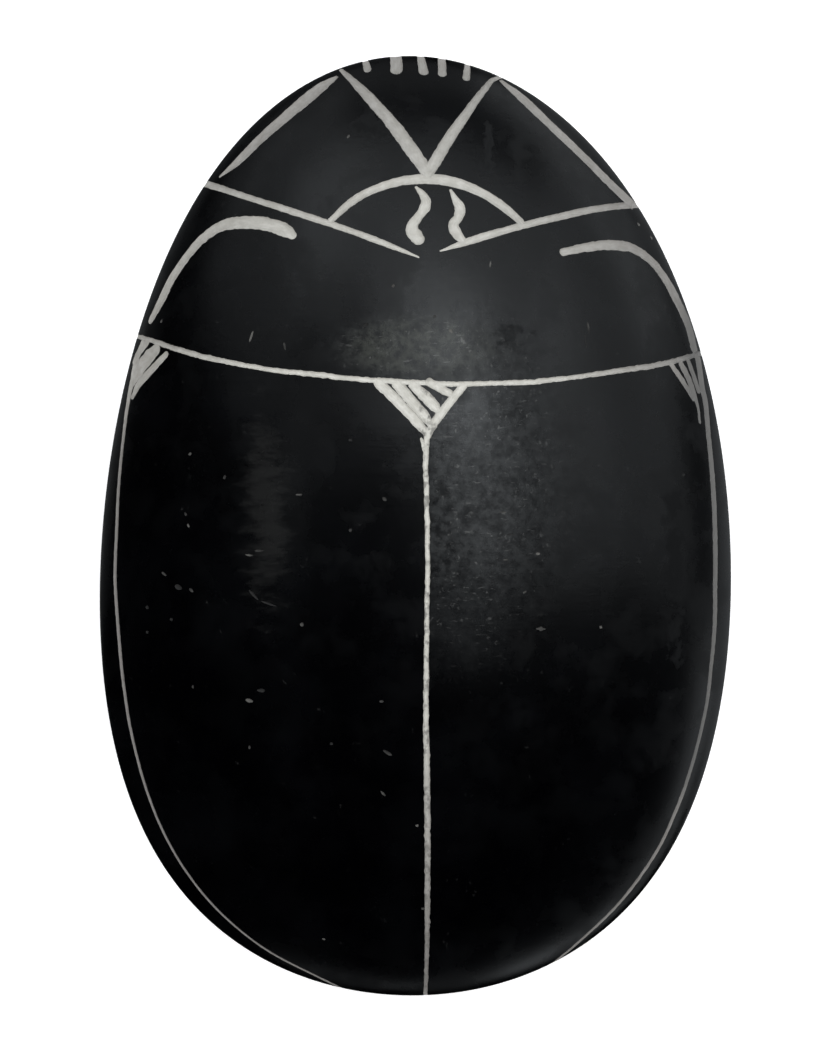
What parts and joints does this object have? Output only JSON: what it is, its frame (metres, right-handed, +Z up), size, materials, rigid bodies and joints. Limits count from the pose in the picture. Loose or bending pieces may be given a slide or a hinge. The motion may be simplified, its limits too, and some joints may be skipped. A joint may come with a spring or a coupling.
{
  "type": "scarab amulet",
  "caption": "Black stone scarab amulet: smooth domed back with incised head, shoulder and wing-case lines, flanks with cut legs and a flat underside.",
  "frame": {"origin": "middle of the flat underside", "axes": "+Z up from the underside to the crown of the back, +Y along the body towards the head, +X across to the wing case on the right when seen from above with the head up"},
  "size_m": [0.0436, 0.065, 0.02],
  "materials": {
    "black_stone": "hand-polished to a soft satin, with fine scuffs and specks; the incised lines are matt and pale warm grey"
  },
  "bodies": {
    "root": {"scarab": "black_stone"}
  },
  "joints": []
}
